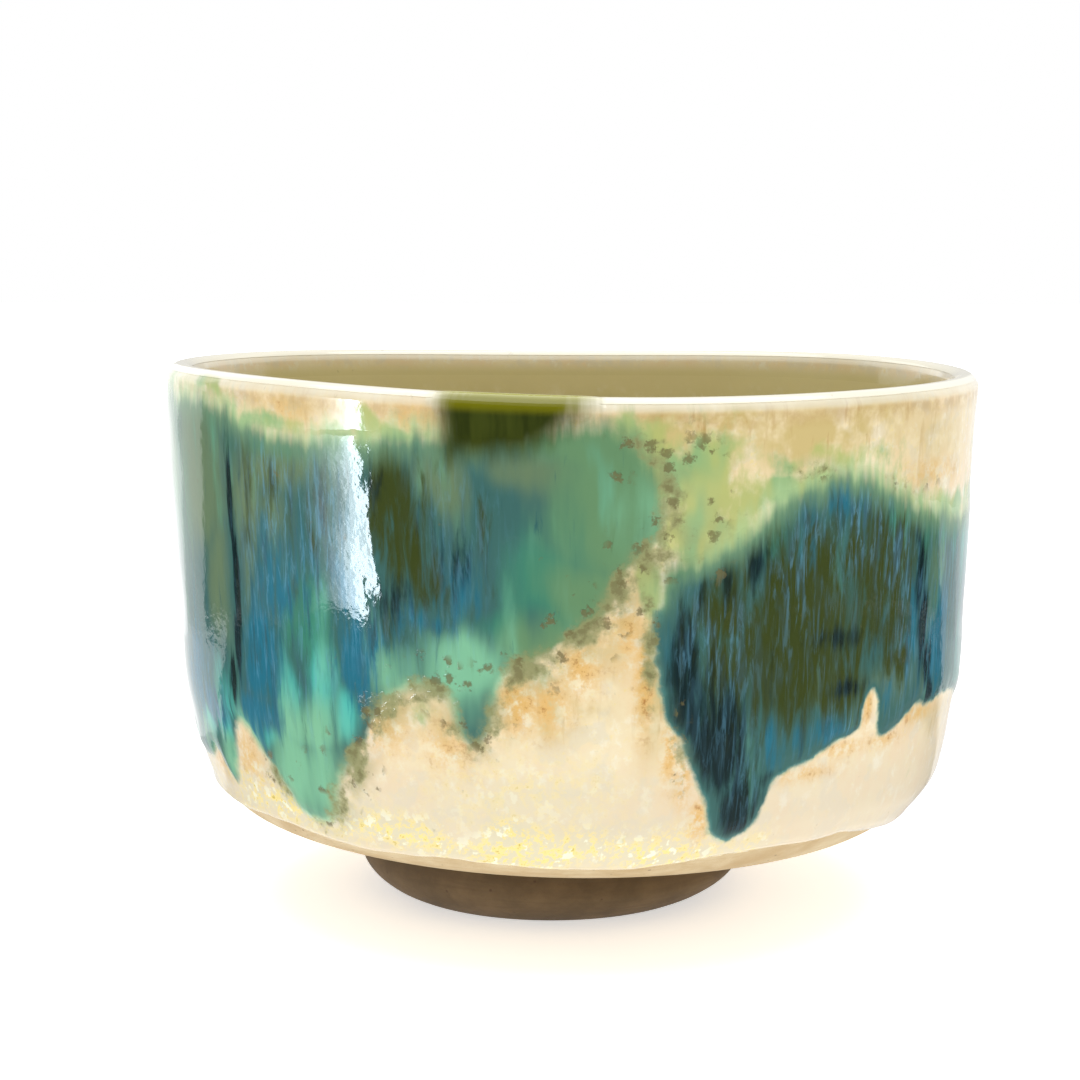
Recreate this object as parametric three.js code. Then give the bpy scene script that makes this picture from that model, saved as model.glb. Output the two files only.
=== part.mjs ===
// A tea bowl for whisked tea: a thrown stoneware bowl on a turned foot ring, coated with a cream
// glaze inside and out, with a second, copper-coloured glaze poured over the cream from the rim.
// Units are millimetres and +Z is up. The origin is on the table, below the middle of the bowl's
// extent, and the bowl's front faces -Y. An azimuth is 0 at the front and grows towards +X.
import * as THREE from "three";
import { ParametricGeometry } from "three/addons/geometries/ParametricGeometry.js";

// Driving dimensions of the clay.
const RIM_RADIUS = 59.7; // outside of the clay, just below the lip
const RIM_HEIGHT = 77.8; // the clay lip's ridge
const LIP_RADIUS = 1.35; // rounding of the lip, which makes the wall twice as thick there
const HIP_RADIUS = 56.4; // outside of the wall, where the hip begins
const HIP_HEIGHT = 28.7;
const BASE_RADIUS = 46.8; // where the rounded hip ends and the flat cone of the underside begins
const BASE_HEIGHT = 13.2;
const FOOT_RADIUS = 27.7; // the foot ring's outside, at the underside
const FOOT_HEIGHT = 7.9;
const FLOOR_HEIGHT = 13.6; // the middle of the bowl's floor
const POINT_DROP = 1.6; // the turned point in the middle of the foot's recess

// The foot ring.
const RING_INNER_TOP = 17.6;
const RING_INNER_BOTTOM = 19.9;
const REST_OUTER = 22.6; // the flat band that the bowl stands on
const REST_INNER = 20.5;
const RING_BELLY = 30.4; // control point of the ring's rounded outside

// The glazes.
const FIT_GAP = 0.1; // between the clay and a coat, and between two coats
const COAT = 0.5; // thickness of the cream glaze
const POUR_GAP = 0.3; // between the cream glaze and a pour over it
const POUR = 0.55; // thickness of a pour where it is full
const COAT_OUTER = FIT_GAP + COAT;
const POUR_BOTTOM = COAT_OUTER + POUR_GAP;
const COLUMNS_A_SPAN = 3; // columns of a pour between two points of its lower edge

// What throwing and drying by hand do to a true round.
const OVAL = 0.22;
const THREE_LOBES = 0.13;
// How the rim rises and falls, as [times round, height, azimuth of a crest in degrees].
const RIM_WAVES = [[0, 0.65, 0], [1, 0.75, -126], [2, 0.5, -74], [4, 0.15, -44]];
const FOOT_SHIFT = -3.3; // the foot was turned this far off centre, towards -X
const SHIFT_TOP = 22; // the height above which the wall is centred
const LEAN = 1.25; // the underside is this much lower at +X and higher at -X

const TURN_SEGMENTS = 48;
const DEGREE = Math.PI / 180;

// The clay's section, as two lines from the lip's ridge. Each point is (radius, height).
function lip(side) {
  return [0, 8, 30, 60, 90].map((degrees) => {
    const turn = degrees * DEGREE;
    const radius = RIM_RADIUS - LIP_RADIUS + side * LIP_RADIUS * Math.sin(turn);
    return new THREE.Vector2(radius, RIM_HEIGHT - LIP_RADIUS * (1 - Math.cos(turn)));
  });
}
const outside = new THREE.SplineCurve([
  ...lip(1),
  new THREE.Vector2(59.45, 72),
  new THREE.Vector2(58.85, 62),
  new THREE.Vector2(58.25, 52),
  new THREE.Vector2(57.8, 43),
  new THREE.Vector2(57.4, 35),
  new THREE.Vector2(HIP_RADIUS, HIP_HEIGHT),
  new THREE.Vector2(55.6, 24.3),
  new THREE.Vector2(54.2, 19.9),
  new THREE.Vector2(51.3, 16),
  new THREE.Vector2(BASE_RADIUS, BASE_HEIGHT),
  new THREE.Vector2(0.5 * (BASE_RADIUS + FOOT_RADIUS), 0.5 * (BASE_HEIGHT + FOOT_HEIGHT)),
  new THREE.Vector2(FOOT_RADIUS, FOOT_HEIGHT),
]);
const inside = new THREE.SplineCurve([
  ...lip(-1),
  new THREE.Vector2(56.5, 72),
  new THREE.Vector2(55.7, 62),
  new THREE.Vector2(54.7, 50),
  new THREE.Vector2(53.8, 40),
  new THREE.Vector2(52.5, 31),
  new THREE.Vector2(50, 24),
  new THREE.Vector2(45.4, 18.9),
  new THREE.Vector2(38.5, 16),
  new THREE.Vector2(28, 14.6),
  new THREE.Vector2(14, FLOOR_HEIGHT + 0.2),
  new THREE.Vector2(0, FLOOR_HEIGHT),
]);
outside.arcLengthDivisions = 2000;
inside.arcLengthDivisions = 2000;

// A point of the section at a distance along the clay from the ridge, down the outside if it is
// positive and down the inside if it is negative, lifted off the clay.
function section(distance, lift) {
  const line = distance < 0 ? inside : outside;
  const share = Math.min(Math.abs(distance) / line.getLength(), 1);
  const along = line.getTangentAt(share);
  const away = distance < 0 ? new THREE.Vector2(along.y, -along.x) : new THREE.Vector2(-along.y, along.x);
  const point = line.getPointAt(share).addScaledVector(away, lift);
  point.x = share === 1 && distance < 0 ? 0 : Math.max(point.x, 0);
  return point;
}

function spaced(from, to, count) {
  return Array.from({ length: count }, (_, i) => from + ((to - from) * i) / (count - 1));
}

function smooth(low, high, value) {
  return THREE.MathUtils.smoothstep(value, low, high);
}

// Moves a point of the true round to where it is on the bowl. The foot's flat stays flat.
function handmade(point) {
  const azimuth = Math.atan2(point.x, -point.y);
  const radius = Math.hypot(point.x, point.y);
  const wall = smooth(FOOT_HEIGHT, RIM_HEIGHT, point.z);
  const swell = wall * (OVAL * Math.cos(2 * azimuth + 0.5) + THREE_LOBES * Math.cos(3 * azimuth - 1.1));
  const shift = FOOT_SHIFT * (1 - smooth(FOOT_HEIGHT, SHIFT_TOP, point.z));
  const reach = radius + swell * Math.min(radius / FOOT_RADIUS, 1);
  const top = smooth(0.5 * RIM_HEIGHT, RIM_HEIGHT, point.z);
  const waves = RIM_WAVES.map(([times, height, crest]) => height * Math.cos(times * (azimuth - crest * DEGREE)));
  const rim = top * waves.reduce((sum, wave) => sum + wave);
  const under = smooth(0, FOOT_HEIGHT, point.z) * (1 - smooth(BASE_HEIGHT, HIP_HEIGHT, point.z));
  const height = point.z + rim - (under * LEAN * point.x) / BASE_RADIUS;
  return point.set(reach * Math.sin(azimuth) + shift, -reach * Math.cos(azimuth), height);
}

function makeByHand(geometry) {
  const positions = geometry.getAttribute("position");
  const point = new THREE.Vector3();
  for (let i = 0; i < positions.count; i++) {
    handmade(point.fromBufferAttribute(positions, i));
    positions.setXYZ(i, point.x, point.y, point.z);
  }
  geometry.computeVertexNormals();
  return geometry;
}

function turned(profile) {
  const geometry = new THREE.LatheGeometry(profile, TURN_SEGMENTS);
  return makeByHand(geometry.rotateX(Math.PI / 2));
}

function piece(name, geometry, color, roughness) {
  const material = new THREE.MeshStandardMaterial({ color, roughness, metalness: 0 });
  const mesh = new THREE.Mesh(geometry, material);
  mesh.name = name;
  return mesh;
}

// Where the rows of the turned pieces lie, as distances along the clay from the ridge.
const LIP_ROWS = [0.8, 1.7];
const OUTER_ROWS = [...LIP_ROWS, ...spaced(6, 48, 6), 53, 57, 60];
const INNER_ROWS = [...LIP_ROWS, ...spaced(6, 42, 4), ...spaced(47, 68, 5), 88];

function clayBody() {
  const down = [0, ...OUTER_ROWS, 67, 72, outside.getLength()].map((s) => section(s, 0));
  const recess = [new THREE.Vector2(8, FOOT_HEIGHT), new THREE.Vector2(0, FOOT_HEIGHT - POINT_DROP)];
  const floor = [...INNER_ROWS, inside.getLength()].map((s) => section(-s, 0)).reverse();
  return piece("clay_body", turned([...floor, ...down, ...recess].reverse()), 0xc9ab7e, 0.85);
}

function footRing() {
  const top = FOOT_HEIGHT - FIT_GAP;
  const belly = new THREE.CubicBezierCurve(
    new THREE.Vector2(FOOT_RADIUS, top),
    new THREE.Vector2(RING_BELLY, 0.62 * FOOT_HEIGHT),
    new THREE.Vector2(REST_OUTER + 5, 0.12 * FOOT_HEIGHT),
    new THREE.Vector2(REST_OUTER, 0),
  );
  const bore = [
    new THREE.Vector2(REST_INNER, 0),
    new THREE.Vector2(RING_INNER_BOTTOM, 0.6),
    new THREE.Vector2(RING_INNER_TOP, top),
  ];
  const profile = [...belly.getPoints(8), ...bore, new THREE.Vector2(FOOT_RADIUS, top)];
  return piece("foot_ring", turned(profile.reverse()), 0x8f7449, 0.9);
}

// The coat inside the bowl, from the ridge to the middle of the floor.
function insideCoat() {
  const rows = [FIT_GAP, ...INNER_ROWS, inside.getLength()];
  const wet = rows.map((s) => section(-s, COAT_OUTER));
  const hidden = rows.map((s) => section(-s, FIT_GAP));
  return piece("inside_glaze", turned([...hidden.reverse(), ...wet]), 0xcfc39a, 0.3);
}

// A layer over the clay as one closed skin. Its columns stand at the azimuths, and around is its
// section: a closed loop, down the hidden face and up the wet one, of functions of the azimuth
// that each give [distance, lift].
function layer(azimuths, around) {
  const loop = [...around, around[0]];
  const place = (u, v, target) => {
    const azimuth = azimuths[Math.round(u * (azimuths.length - 1))];
    const [distance, lift] = loop[Math.round(v * (loop.length - 1))](azimuth);
    const at = section(distance, lift);
    target.set(at.x * Math.sin(azimuth), -at.x * Math.cos(azimuth), at.y);
  };
  return makeByHand(new ParametricGeometry(place, azimuths.length - 1, loop.length - 1));
}

// The distance from the ridge at which the outside coat ends.
const glazeLine = edge([
  [0, 65], [10, 64.8], [24, 62.2], [45, 61.8], [70, 65], [110, 64.5], [180, 65.5], [250, 64], [290, 63],
  [310, 62.8], [328, 64.4], [345, 64.2], [360, 65],
]);

function outsideCoat() {
  const rows = [FIT_GAP, ...OUTER_ROWS];
  const wet = rows.map((s) => () => [s, COAT_OUTER]);
  const hidden = rows.map((s) => () => [s, FIT_GAP]);
  const end = [COAT_OUTER - 0.15, FIT_GAP].map((lift) => (azimuth) => [glazeLine(azimuth), lift]);
  const geometry = layer(spaced(0, 2 * Math.PI, TURN_SEGMENTS + 1), [...hidden, ...end.reverse(), ...wet.reverse()]);
  return piece("outside_glaze", geometry, 0xe3d2b0, 0.3);
}

// A line through (azimuth in degrees, distance below the ridge) points, easing between them.
function edge(points) {
  return (azimuth) => {
    const a = azimuth / DEGREE;
    const next = Math.min(Math.max(points.findIndex((p) => p[0] >= a), 1), points.length - 1);
    const [a0, s0] = points[next - 1];
    const [a1, s1] = points[next];
    return s0 + (s1 - s0) * smooth(a0, a1, a);
  };
}

// The rows of a pour crowd towards its lower edge, where the clay curves most.
const POUR_ROWS = spaced(0, 1, 9).map((t) => 1 - (1 - t) ** 1.4);

// A pour of the second glaze: a lens that thins to nothing at its edges and at its two ends.
// Its lower edge's points also set its columns, so that each drip has a tip.
function pour(name, color, upperPoints, lowerPoints, thickness = POUR, rows = POUR_ROWS) {
  const upper = edge(upperPoints);
  const lower = edge(lowerPoints);
  const corners = lowerPoints.map((p) => p[0] * DEGREE);
  const azimuths = corners.slice(1).flatMap((a, i) => spaced(corners[i], a, COLUMNS_A_SPAN + 1).slice(1));
  const [from, to] = [corners[0], corners.at(-1)];
  const at = (across, lift) => (azimuth) => {
    const end = Math.min((azimuth - from) / (to - from), (to - azimuth) / (to - from));
    const full = Math.sqrt(Math.max(0, Math.min(1, 12 * end) * Math.min(1, 14 * across * (1 - across))));
    return [upper(azimuth) + (lower(azimuth) - upper(azimuth)) * across, POUR_BOTTOM + lift * full];
  };
  const wet = rows.map((across) => at(across, thickness));
  const hidden = rows.slice(1, -1).map((across) => at(across, 0));
  const geometry = layer([from, ...azimuths], [...hidden, ...wet.reverse()]);
  return piece(name, geometry, color, 0.15);
}

const leftPour = pour(
  "left_pour",
  0x2f7d84,
  [[-128, 40], [-122, 22], [-112, 8], [-76, 2.6], [-62, 3.2], [-52, 5], [-38, 8.5], [-20, 8], [-16.5, 11],
    [3, 11], [8, 12], [11, 16]],
  [[-128, 40], [-118, 47], [-108, 54], [-100, 48], [-80, 51], [-66, 50], [-59, 57], [-53, 46], [-45, 53], [-37, 60],
    [-30, 48], [-24, 39], [-18, 37], [-13, 44], [-8, 35], [0, 31.5], [5, 26], [9, 19], [11, 16]],
);

const rightPour = pour(
  "right_pour",
  0x2d3a2c,
  [[11, 30], [13, 22], [21, 20], [28, 14], [38, 11], [44, 13], [60, 15], [80, 17], [100, 12], [116, 15], [126, 28]],
  [[11, 30], [14, 46], [18, 57], [22, 60], [27, 51], [36, 49], [41.5, 46.5], [43.5, 42], [46, 46.5], [57, 43], [70, 45],
    [84, 49], [96, 55], [106, 47], [118, 41], [126, 28]],
);

const backPour = pour(
  "back_pour",
  0x2f6f78,
  [[146, 16], [152, 7], [166, 3.5], [186, 3.5], [202, 9], [210, 20]],
  [[146, 16], [154, 34], [163, 50], [171, 58], [178, 44], [190, 38], [198, 47], [204, 36], [210, 20]],
);

// Olive glaze that was splashed over the lip, from just inside it to the top of the left pour.
const rimSplash = pour(
  "rim_splash",
  0x5c6212,
  [[-17, 2.5], [-16, -0.5], [-12, -2.2], [-3, -2.6], [1, -2], [3, -0.5], [4.5, 2]],
  [[-17, 2.5], [-16, 7.5], [-14, 9.5], [-9, 9.4], [-5, 8.8], [-1, 7], [2, 4.6], [4.5, 2]],
  0.25,
  spaced(0, 1, 15),
);

const bowl = new THREE.Group();
bowl.add(clayBody(), footRing(), insideCoat(), outsideCoat(), leftPour, rightPour, backPour, rimSplash);

// The uneven rim and the pours pull the bowl's extent off the wheel's axis: centre it again.
const middle = new THREE.Box3().setFromObject(bowl).getCenter(new THREE.Vector3());
bowl.position.set(-middle.x, -middle.y, 0);

export default bowl;
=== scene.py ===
"""Looks of a glazed stoneware tea bowl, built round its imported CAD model.

The clay and every glaze layer are fine meshes on one shared section. A point of them is given by
its azimuth in degrees, 0 at the front and growing towards +X, by its distance in millimetres along
the clay from the lip's ridge, positive down the outside and negative down the inside, and by its
lift off the clay. Vertex fields say how the glazes run there, and the materials read those.
"""
import math

import bmesh
import bpy
import numpy as np
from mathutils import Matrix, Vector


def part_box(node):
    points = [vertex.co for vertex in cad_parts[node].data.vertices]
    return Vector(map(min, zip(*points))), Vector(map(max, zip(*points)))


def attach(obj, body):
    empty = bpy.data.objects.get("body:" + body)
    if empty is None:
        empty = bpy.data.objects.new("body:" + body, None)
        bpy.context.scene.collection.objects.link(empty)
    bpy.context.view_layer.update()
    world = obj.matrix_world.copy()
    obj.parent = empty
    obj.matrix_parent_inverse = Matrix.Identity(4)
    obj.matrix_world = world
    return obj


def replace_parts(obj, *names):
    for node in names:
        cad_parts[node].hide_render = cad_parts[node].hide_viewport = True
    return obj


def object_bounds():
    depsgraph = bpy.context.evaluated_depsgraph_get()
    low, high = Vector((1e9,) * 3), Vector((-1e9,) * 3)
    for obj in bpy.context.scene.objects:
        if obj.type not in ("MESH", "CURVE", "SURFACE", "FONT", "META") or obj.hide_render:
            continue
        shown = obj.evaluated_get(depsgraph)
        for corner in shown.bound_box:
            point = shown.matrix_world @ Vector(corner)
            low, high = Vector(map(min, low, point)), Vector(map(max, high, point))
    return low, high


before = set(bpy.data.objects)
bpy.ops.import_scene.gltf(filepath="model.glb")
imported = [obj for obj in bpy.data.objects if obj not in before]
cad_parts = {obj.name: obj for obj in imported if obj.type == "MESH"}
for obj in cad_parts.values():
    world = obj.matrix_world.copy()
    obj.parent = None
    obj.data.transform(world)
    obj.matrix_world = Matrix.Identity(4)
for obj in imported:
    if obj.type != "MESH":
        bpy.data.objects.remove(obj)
cad_low, cad_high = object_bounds()

MM = 0.001

# The clay's section, in millimetres, as in the CAD model.
RIM_RADIUS = 59.7
RIM_HEIGHT = 77.8
LIP_RADIUS = 1.35
HIP_HEIGHT = 28.7
BASE_RADIUS = 46.8
BASE_HEIGHT = 13.2
FOOT_RADIUS = 27.7
FOOT_HEIGHT = 7.9
POINT_DROP = 1.6
OUTSIDE = [
    (59.45, 72), (58.85, 62), (58.25, 52), (57.8, 43), (57.4, 35), (56.4, 28.7), (55.6, 24.3),
    (54.2, 19.9), (51.3, 16), (BASE_RADIUS, BASE_HEIGHT), (37.25, 10.4), (FOOT_RADIUS, FOOT_HEIGHT),
]
INSIDE = [
    (56.5, 72), (55.7, 62), (54.7, 50), (53.8, 40), (52.5, 31), (50, 24), (45.4, 18.9),
    (38.5, 16), (28, 14.6), (14, 13.8), (0, 13.6),
]
FOOT = [(27.7, 7.8), (28.5, 6.2), (28.6, 4.6), (27.3, 2.8), (25.2, 1.2), (23.4, 0.3), (22.6, 0)]
FOOT_BORE = [(20.5, 0), (19.9, 0.6), (19.0, 3), (17.6, 7.8)]

# What throwing and drying by hand do to a true round: its swells, and their phases in radians.
OVAL = 0.22
OVAL_PHASE = 0.5
THREE_LOBES = 0.13
LOBES_PHASE = -1.1
# How the rim rises and falls, as (times round, height, azimuth of a crest).
RIM_WAVES = [(0, 0.65, 0), (1, 0.75, -126), (2, 0.5, -74), (4, 0.15, -44)]
FOOT_SHIFT = -3.3  # how far along X the foot sits from the wall's axis
SHIFT_TOP = 22  # the height at which that shift has died away
LEAN = 1.25  # how much lower the wall's underside hangs on the right, and higher on the left
SKIN_RADIUS = 60  # the radius that turns azimuths into lengths on the bowl's skin

# The glazes.
COAT = 0.6  # thickness of the cream
COAT_ROLL = 0.22  # what its rolled edge adds
COAT_EDGE = 1.1  # how far from the glaze line it takes to thicken
POUR = 0.4  # thickness of a pour over the cream
POUR_EDGE = 2.6  # how far inside the outline it takes to thicken
POUR_BEAD = 0.2  # what the beads along the lower edge add
BURIED = -0.3  # the hidden face of a layer lies this deep in what it covers
# Where the outside coat ends, as (azimuth, distance).
GLAZE_LINE = [
    (0, 65), (10, 64.8), (24, 62.2), (45, 61.8), (70, 65), (110, 64.5), (180, 65.5), (250, 64), (290, 63),
    (310, 62.8), (328, 64.4), (345, 64.2), (360, 65),
]
SEAM = -4.5  # where the outside coat meets the inside one, just inside the lip

# The studio.
GROUND = cad_low.z + 0.0005
SKY = 0.6  # brightness of the soft light all round
OVERHEAD = 2.3  # brightness of the wide lamp above
LAMP_SPREAD = 70
LAMP_TILT = -8
FLOOR_COLOR = (0.94, 0.94, 0.93, 1)
FLOOR_GLOW = 0.55  # keeps the bowl's shadow faint
WHITE = (1, 1, 1, 1)
DAYLIGHT = (0.78, 0.9, 1, 1)
# The far room that the glaze mirrors, as (from azimuth, to azimuth, brightness).
ROOM = [
    (-165, -140, 1.5), (-140, -119, 1.05), (-119, -104, 0.1), (-104, -100, 0.0), (-100, -58, 0.2),
    (-58, 60, 0.02), (60, 103, 0.06), (103, 119, 0.0), (119, 135, 0.7), (135, 165, 0.95),
]
ROOM_SECTION = [(0.25, GROUND), (1.5, GROUND), (1.5, 1.2)]  # floor and wall, as (radius, height)
# The mirrored floor near the bowl, as (from azimuth, to azimuth, from radius, to radius, brightness).
NEAR_FLOOR = [
    (-165, -105, 0.12, 0.25, 1.25), (-165, -105, 0.06, 0.12, 0.9), (119, 165, 0.06, 0.25, 0.85),
    (-105, 119, 0.045, 0.06, 0.8), (-105, 119, 0.06, 0.07, 0.6), (-105, 119, 0.07, 0.08, 0.42),
    (-105, 119, 0.08, 0.1, 0.28), (-105, 119, 0.1, 0.13, 0.18), (-105, 119, 0.13, 0.18, 0.11),
    (-105, 119, 0.18, 0.25, 0.06),
]
# The window on the left, its strip a set of slats that grow brighter from one side on.
WINDOW_TURNS = (-68, -52)
WINDOW_AWAY = 0.22
WINDOW_HEIGHTS = (0.008, 0.075)
WINDOW_GLOWS = (0.8, 1.5, 2.5, 4.5, 8, 15, 26)

# The camera, its angles in radians.
CAMERA_AT = (0.0, -0.3495, 0.0959)
CAMERA_LENS = 77.5
CAMERA_PITCH = 0.123
CAMERA_YAW = 0.0136
CAMERA_ROLL = -0.0015



# ------------------------ the section and its surface

def smooth_line(points, per_span=60):
    """A dense Catmull-Rom line through points."""
    p = np.array([points[0], *points, points[-1]], float)
    t = np.linspace(0, 1, per_span, endpoint=False)[:, None]
    spans = [
        0.5 * (2 * b + (c - a) * t + (2 * a - 5 * b + 4 * c - d) * t**2 + (3 * b - a - 3 * c + d) * t**3)
        for a, b, c, d in zip(p, p[1:], p[2:], p[3:])
    ]
    return np.vstack([*spans, p[-1:]])


def lip(side):
    """The rounded lip from its ridge to the wall, outside with side 1 and inside with side -1."""
    turns = np.radians([0, 8, 30, 60, 90])
    radii = RIM_RADIUS - LIP_RADIUS + side * LIP_RADIUS * np.sin(turns)
    return list(zip(radii, RIM_HEIGHT - LIP_RADIUS * (1 - np.cos(turns))))


def length_along(line):
    steps = np.hypot(*np.diff(line, axis=0).T)
    return np.concatenate([[0], np.cumsum(steps)])


outer_line = smooth_line(lip(1) + OUTSIDE)
inner_line = smooth_line(lip(-1) + INSIDE)
INNER_LENGTH = length_along(inner_line)[-1]
section_s = np.concatenate([-length_along(inner_line)[:0:-1], length_along(outer_line)])
section_rz = np.vstack([inner_line[:0:-1], outer_line])
section_along = np.gradient(section_rz, section_s, axis=0)
section_along /= np.hypot(*section_along.T)[:, None]


def smooth(low, high, value):
    """0 at low and 1 at high, with a soft change between."""
    t = np.clip((value - low) / (high - low), 0, 1)
    return t * t * (3 - 2 * t)


# Where the wheel's axis, the middle of the wall, stands in the frame.
wheel_x = (sum(c.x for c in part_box("foot_ring")) / 2) / MM - FOOT_SHIFT
wheel_y = (sum(c.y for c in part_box("foot_ring")) / 2) / MM


def handmade(azimuth, radius, height):
    """Metres, for a point of the true round given in millimetres."""
    a = np.radians(azimuth)
    wall = smooth(FOOT_HEIGHT, RIM_HEIGHT, height)
    top = smooth(0.5 * RIM_HEIGHT, RIM_HEIGHT, height)
    swell = wall * (OVAL * np.cos(2 * a + OVAL_PHASE) + THREE_LOBES * np.cos(3 * a + LOBES_PHASE))
    reach = radius + swell * np.minimum(radius / FOOT_RADIUS, 1)
    shift = FOOT_SHIFT * (1 - smooth(FOOT_HEIGHT, SHIFT_TOP, height))
    x, y = radius * np.sin(a), -radius * np.cos(a)
    rim = top * sum(high * np.cos(times * (a - math.radians(crest))) for times, high, crest in RIM_WAVES)
    under = smooth(0, FOOT_HEIGHT, height) * (1 - smooth(BASE_HEIGHT, HIP_HEIGHT, height))
    z = height + rim - under * LEAN * x / BASE_RADIUS
    scale = reach / np.maximum(radius, 1e-6)
    return np.stack([x * scale + shift + wheel_x, y * scale + wheel_y, z], axis=-1) * MM


def place(azimuth, distance, lift):
    """Metres, for a point of the bowl's skin or above it."""
    azimuth, distance, lift = np.broadcast_arrays(azimuth, distance, lift)
    radius, height = (np.interp(distance, section_s, c) for c in section_rz.T)
    along_r, along_z = (np.interp(distance, section_s, c) for c in section_along.T)
    radius = np.maximum(radius - along_z * lift, 0)
    return handmade(azimuth, radius, height + along_r * lift)


def grain(azimuth, distance, size, seed, stretch=1.0):
    """Smooth noise from -1 to 1 over the bowl's skin, with features of that size."""
    table = np.random.default_rng(seed).uniform(-1, 1, (32, 32, 32))
    a, distance = np.broadcast_arrays(np.radians(azimuth), distance)
    x, y = SKIN_RADIUS * np.sin(a), SKIN_RADIUS * np.cos(a)
    cell = np.stack([x, y, distance / stretch], axis=-1) / size + 200.5
    base = np.floor(cell).astype(int)
    share = smooth(0, 1, cell - base)
    total = 0
    for corner in np.ndindex(2, 2, 2):
        at = (base + corner) % 32
        weight = np.prod(np.where(corner, share, 1 - share), axis=-1)
        total = total + weight * table[at[..., 0], at[..., 1], at[..., 2]]
    return total


def turn_from(azimuth, start):
    """How far round from start an azimuth is, from -180 to 180 degrees."""
    return (azimuth - start + 180) % 360 - 180


# ------------------------ where the glazes run

# Outlines as (azimuth, distance) points: the upper edge from left to right, then the lower edge.
POURS = {
    "left_pour": (
        [
            (-128, 42), (-122, 24), (-112, 10), (-90, 3), (-75, 2.4), (-62, 2.8), (-56, 3.2), (-48, 4.6),
            (-38, 6.4), (-28, 5.4), (-20, 5), (-14, 4.6), (0, 3.6), (5, 4), (9, 7), (11, 12),
        ],
        [
            (11, 17), (9.5, 19), (7.5, 21), (5, 26), (3, 29), (0, 31.5), (-4, 33.5), (-8, 36), (-9.6, 40),
            (-10.6, 43.5), (-12.6, 46), (-14.8, 43.5), (-16.2, 39.5), (-20, 38.6), (-23, 39.4), (-25.6, 42),
            (-28, 46), (-30, 49.5), (-33, 53.5), (-34.5, 58), (-37, 60.4), (-41, 58.5), (-44, 55),
            (-47.5, 51.2), (-50, 49), (-52.5, 46.5), (-55, 49), (-56, 54), (-58.5, 57.5), (-61, 55.5),
            (-63, 53), (-67, 55), (-76, 55.5), (-84, 52), (-92, 50), (-100, 53), (-107, 57), (-112, 51),
            (-120, 48),
        ],
    ),
    "right_pour": (
        [
            (10, 27), (11.4, 22), (16, 20), (20, 17.8), (23, 15.6), (26, 13), (30, 11.3), (35, 10),
            (40, 10.2), (45, 12.4), (50, 15), (58, 16.6), (66, 17.6), (80, 17), (96, 13), (108, 13),
            (118, 18), (126, 30),
        ],
        [
            (122, 40), (116, 44), (108, 46), (103, 52), (98, 57), (93, 51), (85, 49), (76, 46.5), (68, 44.5),
            (60, 45.2), (55, 44.6), (51, 46.4), (47.5, 48), (45.8, 46), (45.2, 42.5), (43.8, 41),
            (42.4, 42.5), (41.6, 46), (38, 47.5), (33, 49.5), (28.5, 51), (26.6, 54), (25, 57.5), (22, 59.5),
            (19.2, 58), (17.5, 53.5), (15.3, 48.5), (12.6, 43), (10.8, 37), (9.8, 32),
        ],
    ),
    "back_pour": (
        [
            (146, 20), (150, 10), (158, 6), (170, 4), (186, 4), (198, 7), (206, 14), (210, 24),
        ],
        [
            (207, 34), (203, 40), (199, 47), (196, 50), (193, 45), (188, 40), (181, 42), (176, 50),
            (172, 58), (168, 60), (164, 54), (160, 45), (154, 38), (148, 30),
        ],
    ),
}
SPLASH = (
    [(-17, 3), (-16.8, 0), (-14, -1.8), (-8, -2.6), (-3, -2.6), (1, -2), (3, -0.5), (3.5, 1.2)],
    [(1.5, 3.2), (-2, 6), (-5, 8), (-8, 8.4), (-12, 8.8), (-15, 9.6), (-16.4, 8.5)],
)


def outline(edges):
    """The closed outline of a pour, and which of its points are on the upper edge."""
    upper, lower = edges
    ring = [*upper, *lower]
    wrapped = [ring[-1], *ring, ring[0], ring[1]]
    line = smooth_line(wrapped, per_span=5)[5:-6]
    split = 5 * (len(upper) - 1) + 2
    return line, np.arange(len(line)) <= split


def distance_to(points, line, closed):
    """Distance in millimetres from each (azimuth, distance) point to a line of such points."""
    scale = np.array([math.radians(1) * SKIN_RADIUS, 1])
    p, line = points * scale, line * scale
    ends = np.vstack([line[1:], line[:1]]) if closed else line[1:]
    nearest = np.full(len(p), np.inf)
    crossings = np.zeros(len(p), bool)
    for a, b in zip(line, ends):
        along = b - a
        ahead = (p[:, 0] - a[0]) * along[0] + (p[:, 1] - a[1]) * along[1]
        t = np.clip(ahead / max(along @ along, 1e-12), 0, 1)
        away_x, away_y = p[:, 0] - a[0] - t * along[0], p[:, 1] - a[1] - t * along[1]
        nearest = np.minimum(nearest, away_x**2 + away_y**2)
        if a[1] != b[1]:
            straddles = (a[1] > p[:, 1]) != (b[1] > p[:, 1])
            crossings ^= straddles & (p[:, 0] < a[0] + (p[:, 1] - a[1]) * along[0] / along[1])
    return np.sqrt(nearest), crossings


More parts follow.
